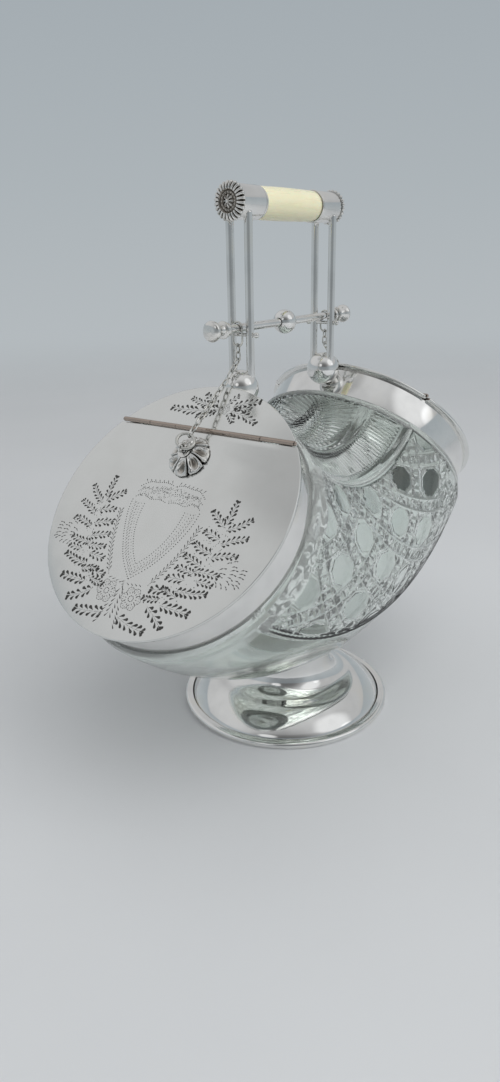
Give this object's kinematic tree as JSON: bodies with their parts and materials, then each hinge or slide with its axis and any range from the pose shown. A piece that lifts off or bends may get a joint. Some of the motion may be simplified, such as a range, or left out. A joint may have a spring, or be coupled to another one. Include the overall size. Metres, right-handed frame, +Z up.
{
  "type": "biscuit barrel",
  "caption": "Bent cut-glass biscuit barrel on a spun silver-plated foot, with a hinged lid on each mouth, a carrying grip on rods, and a sliding bar whose chains open both lids.",
  "frame": {"origin": "centre of the foot's underside, on the floor that it rests on", "axes": "+Z up; X along the handle and through both mouths, with the mouth that is nearer in the picture facing -X and up; Y across"},
  "size_m": [0.294, 0.1408, 0.2903],
  "materials": {
    "silver_plate": "polished silver plate, a little worn",
    "engraved_plate": "silver plate, bright-cut engraved and satin matted",
    "cut_glass": "clear pressed and cut glass",
    "ivory": "polished cream bone or ivory substitute",
    "plaster": "set plaster cement",
    "steel_core": "plain drawn rod, hidden in the grip"
  },
  "bodies": {
    "vessel": {"ball_left": "silver_plate", "ball_right": "silver_plate", "cement_bed": "plaster", "collar_left": "silver_plate", "collar_right": "silver_plate", "end_cap_left": "silver_plate", "end_cap_right": "silver_plate", "ferrule_left": "silver_plate", "ferrule_right": "silver_plate", "fixed_segment_left": "engraved_plate", "fixed_segment_right": "engraved_plate", "foot": "silver_plate", "foot_bead": "silver_plate", "glass_body": "cut_glass", "grip": "ivory", "grip_core": "steel_core", "grip_ring_left": "silver_plate", "grip_ring_right": "silver_plate", "hinge_pin_left": "silver_plate", "hinge_pin_right": "silver_plate", "rod_left_back": "silver_plate", "rod_left_front": "silver_plate", "rod_right_back": "silver_plate", "rod_right_front": "silver_plate", "stop_pin_left": "silver_plate", "stop_pin_right": "silver_plate"},
    "lift_bar": {"lift_bar": "silver_plate", "bar_ball": "silver_plate", "finial_left": "silver_plate", "hanger_left": "silver_plate", "finial_right": "silver_plate", "hanger_right": "silver_plate"},
    "lid_left": {"lid_left": "engraved_plate", "pull_left": "silver_plate", "eye_bolt_left": "silver_plate", "lid_nut_left": "silver_plate"},
    "chain_left_top": {"chain_left_top": "silver_plate"},
    "chain_left_middle": {"chain_left_middle": "silver_plate"},
    "chain_left_lower": {"chain_left_lower": "silver_plate", "pull_ring_left": "silver_plate"},
    "lid_right": {"lid_right": "engraved_plate", "pull_right": "silver_plate", "eye_bolt_right": "silver_plate", "lid_nut_right": "silver_plate"},
    "chain_right_top": {"chain_right_top": "silver_plate"},
    "chain_right_middle": {"chain_right_middle": "silver_plate"},
    "chain_right_lower": {"chain_right_lower": "silver_plate", "pull_ring_right": "silver_plate"}
  },
  "joints": [
    {"name": "lift_bar_slide", "type": "slide", "parent": "vessel", "child": "lift_bar", "axis": [0, 0, 1], "range_m": [0, 0.027]},
    {"name": "lid_left_hinge", "type": "hinge", "parent": "vessel", "child": "lid_left", "pos_m": [-0.07009, 0, 0.17967], "axis": [0, 1, 0], "range_deg": [0, 69]},
    {"name": "chain_left_top_pivot", "type": "hinge", "parent": "lift_bar", "child": "chain_left_top", "pos_m": [-0.0412, 0, 0.2161], "axis": [0, 1, 0], "range_deg": [0, 28.67]},
    {"name": "chain_left_middle_pivot", "type": "hinge", "parent": "chain_left_top", "child": "chain_left_middle", "pos_m": [-0.0412, 0, 0.2096], "axis": [0, 1, 0], "range_deg": [-47.19, 0]},
    {"name": "chain_left_lower_pivot", "type": "hinge", "parent": "lid_left", "child": "chain_left_lower", "pos_m": [-0.0867, 0, 0.17451], "axis": [0, 1, 0], "range_deg": [-80.16, 0]},
    {"name": "lid_right_hinge", "type": "hinge", "parent": "vessel", "child": "lid_right", "pos_m": [0.07009, 0, 0.17967], "axis": [0, -1, 0], "range_deg": [0, 69]},
    {"name": "chain_right_top_pivot", "type": "hinge", "parent": "lift_bar", "child": "chain_right_top", "pos_m": [0.0412, 0, 0.2161], "axis": [0, -1, 0], "range_deg": [0, 28.67]},
    {"name": "chain_right_middle_pivot", "type": "hinge", "parent": "chain_right_top", "child": "chain_right_middle", "pos_m": [0.0412, 0, 0.2096], "axis": [0, -1, 0], "range_deg": [-47.19, 0]},
    {"name": "chain_right_lower_pivot", "type": "hinge", "parent": "lid_right", "child": "chain_right_lower", "pos_m": [0.0867, 0, 0.17451], "axis": [0, -1, 0], "range_deg": [-80.16, 0]}
  ],
  "couplings": [
    {"joint": "lid_left_hinge", "follows": "lift_bar_slide", "rad_per_m": 44.603},
    {"joint": "chain_left_top_pivot", "follows": "lift_bar_slide", "rad_per_m": 18.533},
    {"joint": "chain_left_middle_pivot", "follows": "lift_bar_slide", "rad_per_m": -30.504},
    {"joint": "chain_left_lower_pivot", "follows": "lift_bar_slide", "rad_per_m": -51.817},
    {"joint": "lid_right_hinge", "follows": "lift_bar_slide", "rad_per_m": 44.603},
    {"joint": "chain_right_top_pivot", "follows": "lift_bar_slide", "rad_per_m": 18.533},
    {"joint": "chain_right_middle_pivot", "follows": "lift_bar_slide", "rad_per_m": -30.504},
    {"joint": "chain_right_lower_pivot", "follows": "lift_bar_slide", "rad_per_m": -51.817}
  ]
}
